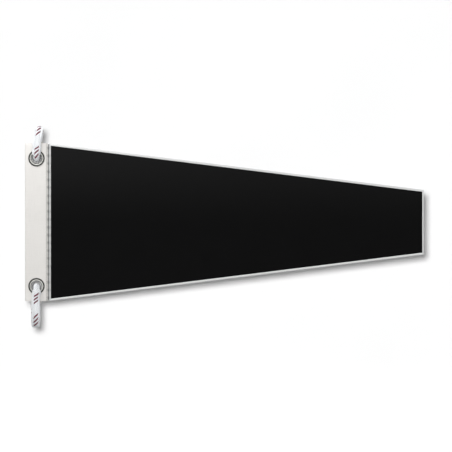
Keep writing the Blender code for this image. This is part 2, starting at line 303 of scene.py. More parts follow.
def make_piece(name, skins, materials, uvs=None, shades=None, sharp=40):
    """One object from several skins, each with its own material index and cloth coordinates."""
    points, faces, indices = [], [], []
    start = 0
    for skin in skins:
        skin_points, skin_faces = skin[0], skin[1]
        points.append(skin_points)
        faces.extend([[i + start for i in face] for face in skin_faces])
        indices.extend([skin[2] if len(skin) > 2 else 0] * len(skin_faces))
        start += len(skin_points)
    mesh = bpy.data.meshes.new(name)
    mesh.from_pydata(np.concatenate(points).tolist(), [], faces)
    for material in materials:
        mesh.materials.append(material)
    mesh.polygons.foreach_set("material_index", indices)
    if uvs is not None:
        corners = np.empty(len(mesh.loops), np.int32)
        mesh.loops.foreach_get("vertex_index", corners)
        layer = mesh.uv_layers.new(name="cloth")
        layer.data.foreach_set("uv", np.asarray(uvs, np.float32)[corners].ravel())
    if shades is not None:
        painted_shade = mesh.attributes.new("painted_shade", "FLOAT", "POINT")
        painted_shade.data.foreach_set("value", np.asarray(shades, np.float32))
    solid = bmesh.new()
    solid.from_mesh(mesh)
    bmesh.ops.recalc_face_normals(solid, faces=solid.faces)
    solid.to_mesh(mesh)
    solid.free()
    mesh.shade_smooth()
    mesh.set_sharp_from_angle(angle=radians(sharp))
    piece = bpy.data.objects.new(name, mesh)
    bpy.context.scene.collection.objects.link(piece)
    return piece


def unit(vectors):
    return vectors / np.linalg.norm(vectors, axis=-1, keepdims=True)


def tube_rings(centres, radius, sides, side_hint, flat=1.0):
    """Round rings along a line of centres; side_hint points out of the surface they lie on."""
    tangents = unit(np.gradient(centres, axis=0))
    out = side_hint - (side_hint * tangents).sum(-1, keepdims=True) * tangents
    out = unit(out)
    across = np.cross(tangents, out)
    angles = np.arange(sides) * tau / sides
    return (
        centres[:, None]
        + radius * flat * np.cos(angles)[None, :, None] * out[:, None]
        + radius * np.sin(angles)[None, :, None] * across[:, None]
    )


def smooth_step(value):
    value = np.clip(value, 0, 1)
    return value * value * (3 - 2 * value)


# Materials


class Recipe:
    """A material and short ways to add its nodes."""

    def __init__(self, name):
        self.material = bpy.data.materials.new(name)
        self.material.use_nodes = True
        self.tree = self.material.node_tree
        self.shader = self.tree.nodes["Principled BSDF"]

    def node(self, kind, **settings):
        made = self.tree.nodes.new(kind)
        for key, value in settings.items():
            setattr(made, key, value)
        return made

    def link(self, source, target):
        self.tree.links.new(source, target)

    def feed(self, socket, value):
        """Puts a number, a colour or another node's output into a socket."""
        if isinstance(value, bpy.types.NodeSocket):
            self.link(value, socket)
        else:
            socket.default_value = value

    def math(self, operation, first, second=0.0):
        made = self.node("ShaderNodeMath", operation=operation)
        self.feed(made.inputs[0], first)
        self.feed(made.inputs[1], second)
        return made.outputs[0]

    def weighted(self, *terms):
        """The sum of several outputs, each times its own number."""
        total = None
        for output, weight in terms:
            term = self.math("MULTIPLY", output, weight)
            total = term if total is None else self.math("ADD", total, term)
        return total

    def mix(self, share, first, second):
        made = self.node("ShaderNodeMix", data_type="RGBA")
        self.feed(made.inputs["Factor"], share)
        self.feed(made.inputs["A"], first)
        self.feed(made.inputs["B"], second)
        return made.outputs["Result"]

    def scaled(self, vector, x, y, z=1.0):
        made = self.node("ShaderNodeMapping")
        self.link(vector, made.inputs["Vector"])
        made.inputs["Scale"].default_value = (x, y, z)
        return made.outputs["Vector"]

    def noise(self, vector, scale, detail=2.0, roughness=0.5):
        made = self.node("ShaderNodeTexNoise")
        self.link(vector, made.inputs["Vector"])
        made.inputs["Scale"].default_value = scale
        made.inputs["Detail"].default_value = detail
        made.inputs["Roughness"].default_value = roughness
        return made.outputs["Fac"]

    def ramp(self, value, *stops):
        made = self.node("ShaderNodeValToRGB")
        self.link(value, made.inputs["Fac"])
        elements = made.color_ramp.elements
        while len(elements) < len(stops):
            elements.new(0.5)
        for element, (place, colour) in zip(elements, stops):
            element.position = place
            element.color = (*colour, 1.0)
        return made.outputs["Color"]

    def bump(self, height, distance):
        made = self.node("ShaderNodeBump")
        self.link(height, made.inputs["Height"])
        made.inputs["Distance"].default_value = distance
        return made.outputs["Normal"]

    def finish(self, colour, roughness, normal=None, metallic=0.0, specular=0.5):
        self.feed(self.shader.inputs["Base Color"], colour)
        self.feed(self.shader.inputs["Roughness"], roughness)
        if normal is not None:
            self.link(normal, self.shader.inputs["Normal"])
        self.shader.inputs["Metallic"].default_value = metallic
        self.shader.inputs["Specular IOR Level"].default_value = specular
        return self.material


def weave_height(recipe, vector, pitch):
    """A plain weave: threads cross over and under each other at the given pitch."""
    scaled = recipe.scaled(vector, pi / pitch, pi / pitch)
    parts = recipe.node("ShaderNodeSeparateXYZ")
    recipe.link(scaled, parts.inputs[0])
    warp = recipe.math("SINE", parts.outputs[0])
    weft = recipe.math("SINE", parts.outputs[1])
    over = recipe.math("GREATER_THAN", recipe.math("MULTIPLY", warp, weft), 0.0)
    warp = recipe.math("MULTIPLY", recipe.math("ABSOLUTE", warp), over)
    under = recipe.math("SUBTRACT", 1.0, over)
    weft = recipe.math("MULTIPLY", recipe.math("ABSOLUTE", weft), under)
    return recipe.math("ADD", warp, weft)


def woven(
    name, colour, dark, pitch, depth, roughness, shade_colour=None, painted_top_light=None, specular=0.25
):
    """Woven cloth on its own cloth coordinates, with uneven yarns and painted shade in the weave's
    dips. The optional top colour paints light onto the upper part, and the optional shade colour is
    painted shade, mixed in by the per-point shade attribute.
    """
    recipe = Recipe(name)
    cloth = recipe.node("ShaderNodeUVMap", uv_map="cloth").outputs["UV"]
    height = weave_height(recipe, cloth, pitch)
    along = recipe.noise(recipe.scaled(cloth, 900, 60), 1.0, 1.0)
    across = recipe.noise(recipe.scaled(cloth, 60, 900), 1.0, 1.0)
    slubs = recipe.math("MULTIPLY", recipe.math("ADD", along, across), 0.5)
    blotch = recipe.noise(cloth, 26.0, 3.0)
    tone = recipe.weighted((slubs, 0.55), (height, 0.30), (blotch, 0.35))
    paint = recipe.ramp(tone, (0.15, dark), (0.75, colour))
    # Painted light: the cloth is lighter towards the top
    if painted_top_light is not None:
        parts = recipe.node("ShaderNodeSeparateXYZ")
        recipe.link(cloth, parts.inputs[0])
        top_light_share = recipe.node("ShaderNodeMapRange", interpolation_type="SMOOTHSTEP")
        recipe.link(parts.outputs[1], top_light_share.inputs["Value"])
        top_light_share.inputs["From Min"].default_value = -0.1 * HALF_HOIST
        top_light_share.inputs["From Max"].default_value = HALF_HOIST
        paint = recipe.mix(top_light_share.outputs["Result"], paint, (*painted_top_light, 1.0))
    # Painted shade, mixed in by the per-point attribute
    if shade_colour is not None:
        painted_shade = recipe.node("ShaderNodeAttribute", attribute_name="painted_shade").outputs["Fac"]
        paint = recipe.mix(painted_shade, paint, (*shade_colour, 1.0))
    relief = recipe.math("ADD", height, recipe.math("MULTIPLY", slubs, 0.8))
    uneven = recipe.math("MULTIPLY", recipe.math("SUBTRACT", slubs, 0.5), 0.2)
    rough = recipe.math("ADD", roughness, uneven)
    return recipe.finish(paint, rough, recipe.bump(relief, depth), specular=specular)


def yarn_material(name, colour, dark, twist, roughness, hollow_shade=None):
    """Twisted filaments, on UVs along and around each yarn; the last colour is painted shade, mixed
    in by the per-point shade attribute between yarns and in the eyelet's throat.
    """
    recipe = Recipe(name)
    place = recipe.node("ShaderNodeUVMap", uv_map="cloth").outputs["UV"]
    parts = recipe.node("ShaderNodeSeparateXYZ")
    recipe.link(recipe.scaled(place, tau / twist, tau / twist), parts.inputs[0])
    lines = recipe.math("SINE", recipe.math("ADD", parts.outputs[0], parts.outputs[1]))
    fuzz = recipe.noise(recipe.scaled(place, 700, 2600), 1.0, 2.0)
    blotch = recipe.noise(place, 140.0, 2.0)
    tone = recipe.weighted((lines, 0.16), (fuzz, 0.6), (blotch, 0.3))
    paint = recipe.ramp(tone, (0.15, dark), (0.65, colour))
    # Painted shade between yarns, mixed in by the per-point attribute
    if hollow_shade is not None:
        painted_shade = recipe.node("ShaderNodeAttribute", attribute_name="painted_shade").outputs["Fac"]
        paint = recipe.mix(painted_shade, paint, (*hollow_shade, 1.0))
    relief = recipe.math("ADD", lines, recipe.math("MULTIPLY", fuzz, 1.4))
    return recipe.finish(paint, roughness, recipe.bump(relief, 0.00006), specular=0.3)


def metal_material():
    """Dull nickel with painted reflection and shade: painted dark in the throat, a painted
    highlight band on the flare's slope, and painted dark over the rim's round out to the foot.
    """
    recipe = Recipe("dull_nickel")
    place = recipe.node("ShaderNodeTexCoord").outputs["Object"]
    flat = recipe.node("ShaderNodeVectorMath", operation="MULTIPLY")
    recipe.link(place, flat.inputs[0])
    flat.inputs[1].default_value = (1, 0, 1)
    length = recipe.node("ShaderNodeVectorMath", operation="LENGTH")
    recipe.link(flat.outputs["Vector"], length.inputs[0])
    radius = length.outputs["Value"]
    share = recipe.node("ShaderNodeMapRange")
    recipe.link(radius, share.inputs["Value"])
    share.inputs["From Min"].default_value = HOLE_RADIUS
    share.inputs["From Max"].default_value = FLANGE_RADIUS
    stain = recipe.noise(place, 420.0, 4.0, 0.6)
    shifted = recipe.math("ADD", share.outputs["Result"], recipe.math("MULTIPLY", stain, 0.08))
    # Painted reflection and shade by radius: dark in the throat, a bright painted highlight band on
    # the flare's slope, dark again over the rim out to the foot
    rings = recipe.ramp(
        shifted,
        (0.00, (0.020, 0.021, 0.018)),
        (0.12, (0.018, 0.019, 0.016)),
        (0.21, (0.80, 0.80, 0.76)),
        (0.44, (0.85, 0.85, 0.81)),
        (0.56, (0.050, 0.051, 0.048)),
        (1.00, (0.024, 0.025, 0.022)),
    )
    scratches = recipe.noise(recipe.scaled(place, 900, 120, 900), 1.0, 3.0)
    rough = recipe.math("ADD", 0.55, recipe.math("MULTIPLY", scratches, 0.20))
    pits = recipe.noise(place, 2600.0, 3.0)
    normal = recipe.bump(recipe.math("ADD", scratches, pits), 0.00004)
    return recipe.finish(rings, rough, normal, metallic=0.6)


# Header


def pinch(z):
    """How hard the seam's stitches pull at each height, from 0 to about 1."""
    z = np.asarray(z, float)[..., None]
    pulls = PINCH_DEPTHS * np.exp(-(((z - PINCHES) / PINCH_WIDTH) ** 2))
    return pulls.sum(-1)


def header_half(x, z):
    """Half the header's thickness: flat, grooved at the seam, pulled at eyelets and ends."""
    x, z = np.broadcast_arrays(np.asarray(x, float), np.asarray(z, float))
    half = np.full(x.shape, HEADER_FACE)
    half += 0.00004 * np.sin(z * 95 + x * 140) + 0.00003 * np.sin(z * 210 - x * 90)
    seam = np.exp(-(((x - SEAM_X) / GROOVE_WIDTH) ** 2))
    half -= GROOVE_DEPTH * seam * (0.8 + 0.2 * np.cos(z * tau / SEAM_PITCH))
    lip = smooth_step((x - SEAM_X) / (HEADER_RIGHT - SEAM_X))
    half += LIP_RISE * lip * (1 - 2.2 * pinch(z))
    for side in (1, -1):
        across, up = x - EYELET_X, z - side * EYELET_Z
        away = np.hypot(across, up) - FLANGE_RADIUS
        pulls = 0.5 + 0.5 * np.cos(PULL_COUNT * np.arctan2(up, across) + side)
        fading = np.exp(-np.abs(away) / PULL_REACH)
        half += PULL_HEIGHT * fading * pulls * np.where(away > -0.002, 1, 0)
    from_end = HALF_HOIST - np.abs(z)
    return half * (1 - END_PINCH * (1 - smooth_step(from_end / END_TAPER)) ** 2)


def header_ring(z):
    """The folded canvas in section: outside from front lip to rear lip, then inside back."""
    fine = np.linspace(HEADER_RIGHT - LIP_INSET, SEAM_X - SEAM_FINE_REACH, 16)
    wide = np.linspace(SEAM_X - SEAM_COARSE_START, HEADER_FACE, 26)
    across = np.concatenate([fine, wide])
    half = header_half(across, z)
    bend = header_half(HEADER_FACE, z)
    turn = np.linspace(-90, -270, 13)[1:-1] * pi / 180
    fold = np.stack([HEADER_FACE + HEADER_FACE * np.cos(turn), bend * np.sin(turn)], axis=1)
    outer = np.concatenate(
        [np.stack([across, -half], 1), fold, np.stack([across, half], 1)[::-1]]
    )
    slack = np.maximum(half - PLY, LEAST_HALF_GAP)
    inner_bend = max(float(bend) - PLY, LEAST_HALF_GAP)
    inner_fold = np.stack(
        [HEADER_FACE + (HEADER_FACE - PLY) * np.cos(turn), inner_bend * np.sin(turn)], axis=1
    )
    inner = np.concatenate(
        [np.stack([across, -slack], 1), inner_fold, np.stack([across, slack], 1)[::-1]]
    )
    front_lip = [[HEADER_RIGHT, -(half[0] + slack[0]) / 2]]
    rear_lip = [[HEADER_RIGHT, (half[0] + slack[0]) / 2]]
    section = np.concatenate([outer, rear_lip, inner[::-1], front_lip])
    return np.column_stack([section[:, 0], section[:, 1], np.full(len(section), z)])


def header_stations():
    ends = HALF_HOIST - END_TAPER * np.array([0, 0.06, 0.2, 0.45, 0.7])
    middle = np.linspace(-HALF_HOIST + END_TAPER, HALF_HOIST - END_TAPER, HEADER_STATIONS)
    return np.concatenate([-ends, middle, ends[::-1]])


def seam_painted_shade(x, z):
    """Painted shade on the canvas in the stitched groove, at its pinches beside the seam and along
    the header's edge.
    """
    groove = GROOVE_SHADE * np.exp(-(((x - SEAM_X) / GROOVE_SHADE_WIDTH) ** 2))
    edge = smooth_step((x - SEAM_X) / (HEADER_RIGHT - SEAM_X))
    beside = smooth_step((x - SEAM_X + PULL_SHADE_START) / PULL_SHADE_FADE)
    pulls = PULL_SHADE * pinch(z) * beside
    return np.clip(groove + EDGE_SHADE * edge**4 * (1 + pinch(z)) + pulls, 0, MOST_SHADE)


def make_header(canvas):
    stations = header_stations()
    points, faces = swept([header_ring(z) for z in stations])
    around = len(points) // len(stations)
    ring = points[:around]
    steps = np.linalg.norm(np.diff(ring[:, :2], axis=0), axis=1)
    lengths = np.tile(np.concatenate([[0], np.cumsum(steps)]), len(stations))
    uvs = np.column_stack([lengths, points[:, 2]])
    painted_shade = seam_painted_shade(points[:, 0], points[:, 2])
    header = make_piece("header_canvas", [(points, faces)], [canvas], uvs, painted_shade)
    for side in (1, -1):
        drill(header, side * EYELET_Z)
    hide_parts("header_band")
    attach(header, "header")
    return header


def drill(header, z):
    """Punches one eyelet's hole through the canvas."""
    bpy.ops.mesh.primitive_cylinder_add(
        vertices=64,
        radius=CANVAS_HOLE,
        depth=6 * HEADER_FACE,
        location=(EYELET_X, 0, z),
        rotation=(pi / 2, 0, 0),
    )
    punch = bpy.context.object
    boolean = header.modifiers.new("punch", "BOOLEAN")
    boolean.operation = "DIFFERENCE"
    boolean.solver = "EXACT"
    boolean.object = punch
    bpy.context.view_layer.objects.active = header
    bpy.ops.object.modifier_apply(modifier="punch")
    bpy.data.objects.remove(punch, do_unlink=True)


# Field


def half_height(x):
    """Half the height of the whole pennant at x, to the outside of its edge tapes."""
    half_fly = FLY_TAPE_HIGH.z + MITRE_TRIM
    share = (x - HEADER_RIGHT) / (FIELD_RIGHT - HEADER_RIGHT)
    return HALF_HOIST + (half_fly - HALF_HOIST) * share


def wave(x, z):
    """How far the field's cloth stands off flat: puckers at the seam, soft waves to the fly."""
    x, z = np.asarray(x, float), np.asarray(z, float)
    along = np.clip((x - BLEND_END) / (FIELD_RIGHT - BLEND_END), 0, 1)
    swell = np.sin(along * 9.2 + z * 5.0) * 0.8 + np.sin(along * 4.1 - z * 9.0 + 0.6) * 0.5
    reach = np.exp(-np.clip(x - FIELD_LEFT, 0, None) / PUCKER_REACH)
    puckers = PUCKER_HEIGHT * (pinch(z) - 0.4) * reach * smooth_step((x - HEADER_RIGHT) / 0.001)
    return WAVE_HEIGHT * smooth_step(along * 2.2) * swell + puckers


def make_field(cloth):
    across = np.concatenate(
        [
            np.linspace(FIELD_LEFT + FIELD_INSET, FIELD_LEFT + FIELD_FINE_REACH, 30),
            np.linspace(FIELD_LEFT + FIELD_COARSE_START, FIELD_RIGHT - FIELD_INSET, 150),
        ]
    )
    up = np.linspace(-1, 1, 130)
    rings = []
    for x in across:
        z = up * (half_height(x) - FIELD_INSET)
        y = wave(x, z)
        front = np.column_stack([np.full_like(z, x), y - CLOTH_FACE, z])
        rear = np.column_stack([np.full_like(z, x), y + CLOTH_FACE, z])[::-1]
        rings.append(np.concatenate([front, rear]))
    points, faces = swept(rings)
    uvs = points[:, [0, 2]]
    painted_shade = np.zeros(len(points))
    field = make_piece("field_cloth", [(points, faces)], [cloth], uvs, painted_shade)
    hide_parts("field_panel")
    return field


def make_allowance(tape):
    """The white seam allowance that runs from inside the header across the fold."""
    across = np.linspace(ALLOWANCE_LOW.x, FIELD_LEFT + ALLOWANCE_REACH, 16)
    top = ALLOWANCE_HIGH.z
    face = ALLOWANCE_HIGH.y
    up = np.linspace(-top, top, 200)
    rings = []
    for x in across:
        y = wave(x, up)
        height = np.minimum(np.abs(up), half_height(x) - ALLOWANCE_INSET) * np.sign(up)
        front = np.column_stack([np.full_like(up, x), y - face, height])
        rear = np.column_stack([np.full_like(up, x), y + face, height])[::-1]
        rings.append(np.concatenate([front, rear]))
    points, faces = swept(rings)
    # Painted shade over the allowance in the gap by the header's edge, deeper at the pinches
    painted_shade = np.clip(ALLOWANCE_SHADE + ALLOWANCE_PULL_SHADE * pinch(points[:, 2]), 0, 1.0)
    uvs = points[:, [0, 2]]
    piece = make_piece("seam_allowance", [(points, faces)], [tape], uvs, painted_shade)
    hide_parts("field_seam_allowance")
    return piece


def corner(right, top, inset, hem_inset):
    """A corner of the field's outline, moved in from its upright and its long outer edges."""
    slope = (half_height(FIELD_LEFT) - half_height(FIELD_RIGHT)) / (FIELD_RIGHT - FIELD_LEFT)
    x = FIELD_RIGHT - inset * FLY_TAPE_WIDTH / TAPE_WIDTH if right else FIELD_LEFT + inset
    z = half_height(x) - hem_inset * (1 + slope**2) ** 0.5
    return np.array([x, z if top else -z])


def tape_edges(side):
    """The ends of one tape's outer edge and of its inner edge, as (x, z)."""
    ends = {
        "hoist": ((False, False), (False, True)),
        "fly": ((True, True), (True, False)),
        "top": ((False, True), (True, True)),
        "bottom": ((True, False), (False, False)),
    }[side]
    return [[corner(*end, *inset) for end in ends] for inset in ((0, 0), (TAPE_WIDTH, HEM_WIDTH))]


def tape_place(edges, along, depth):
    """The (x, z) at a share along a tape and at a depth in from its outer edge."""
    outer = edges[0][0] + (edges[0][1] - edges[0][0]) * along[..., None]
    inner = edges[1][0] + (edges[1][1] - edges[1][0]) * along[..., None]
    return outer + (inner - outer) * (depth / TAPE_WIDTH)[..., None]


def tape_height(depth):
    """How far a tape's face stands off the cloth's middle: it sinks to its inner edge."""
    sink = smooth_step((depth - TAPE_SINK_START) / (TAPE_WIDTH - TAPE_SINK_START))
    return TAPE_FACE + (TAPE_EDGE_FACE - TAPE_FACE) * sink


def tape_section():
    """A tape folded over a cloth edge, as depths from the outer edge and heights off it."""
    turn = np.linspace(-80, 80, 7) * pi / 180
    fold = np.column_stack([TAPE_FACE * 0.9 * (1 - np.cos(turn)), TAPE_FACE * np.sin(turn)])
    legs = np.linspace(TAPE_FACE, TAPE_WIDTH - 0.0002, 6)
    height = tape_height(legs)
    front = np.column_stack([legs, -height])[::-1]
    rear = np.column_stack([legs, height])
    edge = np.array([[TAPE_WIDTH, TAPE_EDGE_FACE * 0.75], [TAPE_WIDTH, TAPE_LINING]])
    inside = np.array([[TAPE_FOLD_DEPTH + 0.0001, TAPE_LINING], [TAPE_FOLD_DEPTH, 0]])
    return np.concatenate(
        [front, fold, rear, edge, inside, [inside[0] * (1, -1)], edge[::-1] * (1, -1)]
    )


def make_tape(side, tape):
    edges = tape_edges(side)
    length = np.linalg.norm(edges[0][1] - edges[0][0])
    trim = TAPE_END_TRIM / length
    stations = np.linspace(trim, 1 - trim, int(length / TAPE_STEP) + 2)
    section = tape_section()
    rings = []
    for share in stations:
        place = tape_place(edges, np.full(len(section), share), section[:, 0])
        swell = 1 + TAPE_SWELL * cos(share * length * tau / (2 * TAPE_STITCH))
        y = wave(place[:, 0], place[:, 1]) + section[:, 1] * swell
        rings.append(np.column_stack([place[:, 0], y, place[:, 1]]))
    points, faces = swept(rings)
    painted_shade = np.zeros(len(points))
    # Painted shade on the hoist strip beside the header, deeper at the pinches
    if side == "hoist":
        painted_shade = np.clip(STRIP_SHADE + STRIP_PULL_SHADE * pinch(points[:, 2]), 0, 0.8)
    name = side + "_edge_tape_sewn"
    piece = make_piece(name, [(points, faces)], [tape], points[:, [0, 2]], painted_shade)
    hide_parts(side + "_edge_tape")
    return piece


# Stitches


def stitch(start, end, out):
    """One stitch from hole to hole, sunk at both ends and proud between."""
    share = np.linspace(0, 1, 7)
    lift = THREAD_RADIUS * (2.4 * np.sin(share * pi) ** 0.5 - 1.3)
    out = np.asarray(out, float)
    line = start + (end - start) * share[:, None] + out * lift[:, None]
    hint = np.repeat(out[None], len(line), axis=0)
    return swept(tube_rings(line, THREAD_RADIUS, 6, hint))


def stitch_uvs(skins):
    """Cloth coordinates for threads, near enough along and around each stitch."""
    points = np.concatenate([skin[0] for skin in skins])
    return np.column_stack([points[:, 2] + points[:, 0] * 0.3, points[:, 1]])


def make_seam_stitches(face, sign, thread):
    """The zigzag that sews the header shut over the field's seam allowance."""
    top = HALF_HOIST - SEAM_PITCH / 2
    count = round(2 * top / (SEAM_PITCH / 2))
    heights = np.linspace(-top, top, count + 1)
    heights[1:-1] += chance.normal(0, SEAM_UNEVENNESS, count - 1)
    sides = SEAM_X + SEAM_HALF_WIDTH * np.where(np.arange(count + 1) % 2 == 0, 1, -1)
    depth = sign * header_half(sides, heights)
    holes = np.column_stack([sides, depth, heights])
    skins = [stitch(a, b, (0, sign, 0)) for a, b in zip(holes[:-1], holes[1:])]
    name = "header_seam_stitches_" + face
    piece = make_piece(name, skins, [thread], stitch_uvs(skins))
    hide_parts("header_seam_thread_" + face)
    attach(piece, "header")
    return piece


def make_tape_stitches(side, face, sign, thread):
    edges = tape_edges(side)
    length = np.linalg.norm(edges[0][1] - edges[0][0])
    margin = 1.6 * TAPE_WIDTH
    count = int((length - 2 * margin) / TAPE_STITCH)
    along = np.linspace(margin, length - margin, count + 1) / length
    turn = np.where(np.arange(count + 1) % 2 == 0, 0.5, -0.5)
    depth = TAPE_WIDTH - TAPE_STITCH_INSET + turn * TAPE_STITCH_WIDTH
    place = tape_place(edges, along, depth)
    y = wave(place[:, 0], place[:, 1]) + sign * tape_height(depth)
    holes = np.column_stack([place[:, 0], y, place[:, 1]])
    skins = [stitch(a, b, (0, sign, 0)) for a, b in zip(holes[:-1], holes[1:])]
    name = f"{side}_tape_stitches_{face}"
    piece = make_piece(name, skins, [thread], stitch_uvs(skins))
    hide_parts(f"{side}_tape_thread_{face}")
    return piece


# Eyelets


def arc(centre, radius, start, end):
    angles = np.radians(np.linspace(start, end, ARC_STEPS + 1))
    return np.column_stack(
        [centre[0] + radius * np.cos(angles), centre[1] + radius * np.sin(angles)]
    )


def eyelet_profile():
    """The rolled rim, mouth, barrel and rear lip, as radius and height towards the front."""
    roll = FLANGE_RADIUS - FLARE_CENTRE - FLANGE_LAND
    land_end = FLARE_CENTRE + FLANGE_LAND
    foot = np.array([[FLANGE_RADIUS - FOOT_INSET, FLANGE_SEAT], [FLARE_CENTRE, FLANGE_SEAT]])
    return np.concatenate(
        [
            arc((land_end, FLARE_RADIUS - roll), roll, 90, 0),
            foot,
            arc((FLARE_CENTRE, 0), FLARE_RADIUS - METAL, 130, 262),
            arc((FLARE_CENTRE - REAR_LIP_TURN, -FLARE_RADIUS + METAL / 2), METAL / 2, 10, -90),
            arc((FLARE_CENTRE, 0), FLARE_RADIUS, 268, 92),
        ]
    )


def washer_profile():
    """A washer with rounded rims, as radius and height towards the front."""
    low, high = -WASHER_BACK, -FLANGE_SEAT
    round_off = (high - low) / 2
    middle = (low + high) / 2
    outside = arc((FLANGE_RADIUS - round_off, middle), round_off, 90, -90)
    inside = arc((WASHER_BORE + round_off, middle), round_off, 270, 90)
    return np.concatenate([outside, inside])


def make_turned(name, profile, z, metal, node):
    angles = np.arange(TURN_STEPS) * tau / TURN_STEPS
    rings = [
        np.column_stack([profile[:, 0] * cos(a), -profile[:, 1], profile[:, 0] * sin(a)])
        for a in angles
    ]
    piece = make_piece(name, [swept(rings, looped=True)], [metal], sharp=60)
    piece.location = (EYELET_X, 0, z)
    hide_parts(node)
    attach(piece, "header")


def make_eyelets(metal):
    for side, up in (("upper", 1), ("lower", -1)):
        z = up * EYELET_Z
        make_turned(side + "_eyelet_turned", eyelet_profile(), z, metal, side + "_eyelet")
        washer = side + "_eyelet_washer"
        make_turned(washer + "_turned", washer_profile(), z, metal, washer)


# Ropes


def through_hole():
    """The rope's half turn through the eyelet, from the rear to the front."""
    points = []
    for degrees in (0, 30, 60, 90, 120, 150, 180):
        angle = radians(degrees)
        points.append((0.0, ROPE_BEND * cos(angle), ROPE_REST + ROPE_BEND * (1 - sin(angle))))
    return points


def smooth_route(knots, count):
    """Evenly counted points on a Catmull-Rom curve through the knots."""
    ends = [2 * knots[0] - knots[1]] + knots + [2 * knots[-1] - knots[-2]]
    spans = len(knots) - 1
    route = []
    for step in range(count):
        place = step * spans / (count - 1)
        span = min(int(place), spans - 1)
        t = place - span
        a, b, c, d = ends[span : span + 4]
        curve = b * 2 + (c - a) * t + (a * 2 - b * 5 + c * 4 - d) * t**2
        curve += (b * 3 - a - c * 3 + d) * t**3
        route.append(curve / 2)
    return route


def evenly(points, count):
    """The same line again with its points evenly spaced, and the distance along it."""
    points = np.asarray(points, float)
    steps = np.linalg.norm(np.diff(points, axis=0), axis=1)
    distance = np.concatenate([[0], np.cumsum(steps)])
    along = np.linspace(0, distance[-1], count)
    line = np.column_stack([np.interp(along, distance, points[:, i]) for i in range(3)])
    return line, along


def rope_frame(line):
    """At each point of the rope, the side nearest +X and the side square to it."""
    tangents = unit(np.gradient(line, axis=0))
    side = np.array([1.0, 0.0, 0.0])
    first = unit(side - (tangents @ side)[:, None] * tangents)
    return first, np.cross(tangents, first)


def braid_reach(angle, in_hole, fold, squareness):
    """The braid's mean radius: squeezed in the eyelet, fuller outside, squarer at the fold."""
    swell = BRAID_SWELL * (1 - fold) - (BRAID_SWELL + BRAID_SQUEEZE) * in_hole
    power = 2 + squareness * fold
    circle = np.abs(np.cos(angle)) ** power + np.abs(np.sin(angle)) ** power
    return (BRAID_RADIUS + swell) * circle ** (-1 / power)


def yarn_skin(line, from_tracer, axes, places, turn, carrier, offset, front):
    """One yarn of the braid: over two and under two of the yarns that turn the other way."""
    first, second = axes
    turned = (carrier + offset) / CARRIERS + turn * from_tracer / BRAID_LEAD
    over = turn * np.tanh(2.0 * np.cos(tau * turned * CARRIERS / 2)) / np.tanh(2.0)
    angle = tau * (turned + front)
    radius = braid_reach(angle, *places) + BRAID_SWING * over
    out = np.cos(angle)[:, None] * first + np.sin(angle)[:, None] * second
    centres = line + radius[:, None] * out
    skin = swept(tube_rings(centres, YARN_RADIUS, YARN_SIDES, out, flat=YARN_FLATNESS))
    sides = np.arange(YARN_SIDES) / YARN_SIDES * tau
    uv = np.stack(np.meshgrid(from_tracer, sides * YARN_RADIUS, indexing="ij"), axis=-1)
    # Painted shade on the yarn's sides and where it dives under
    beside = YARN_SIDE_SHADE * (1 - np.cos(sides))
    under = YARN_UNDER_SHADE * (1 - over)
    return skin, uv.reshape(-1, 2), (beside[None, :] + under[:, None]).ravel()


def throat_painted_shade(points, centre_z, up):
    """Painted shade on the rope's sides inside its eyelet, most of all towards the front."""
    rise = up * (points[:, 2] - centre_z)
    off_axis = np.hypot(points[:, 0] - EYELET_X, np.minimum(rise, 0))
    beside = smooth_step((off_axis - THROAT_SHADE_START) / THROAT_SHADE_FADE)
    within = smooth_step((THROAT_SHADE_TOP - rise) / THROAT_SHADE_FADE)
    front = 0.5 + 0.5 * smooth_step(0.5 - points[:, 1] / THROAT_SHADE_DEPTH)
    return THROAT_SHADE_STRENGTH * beside * within * front


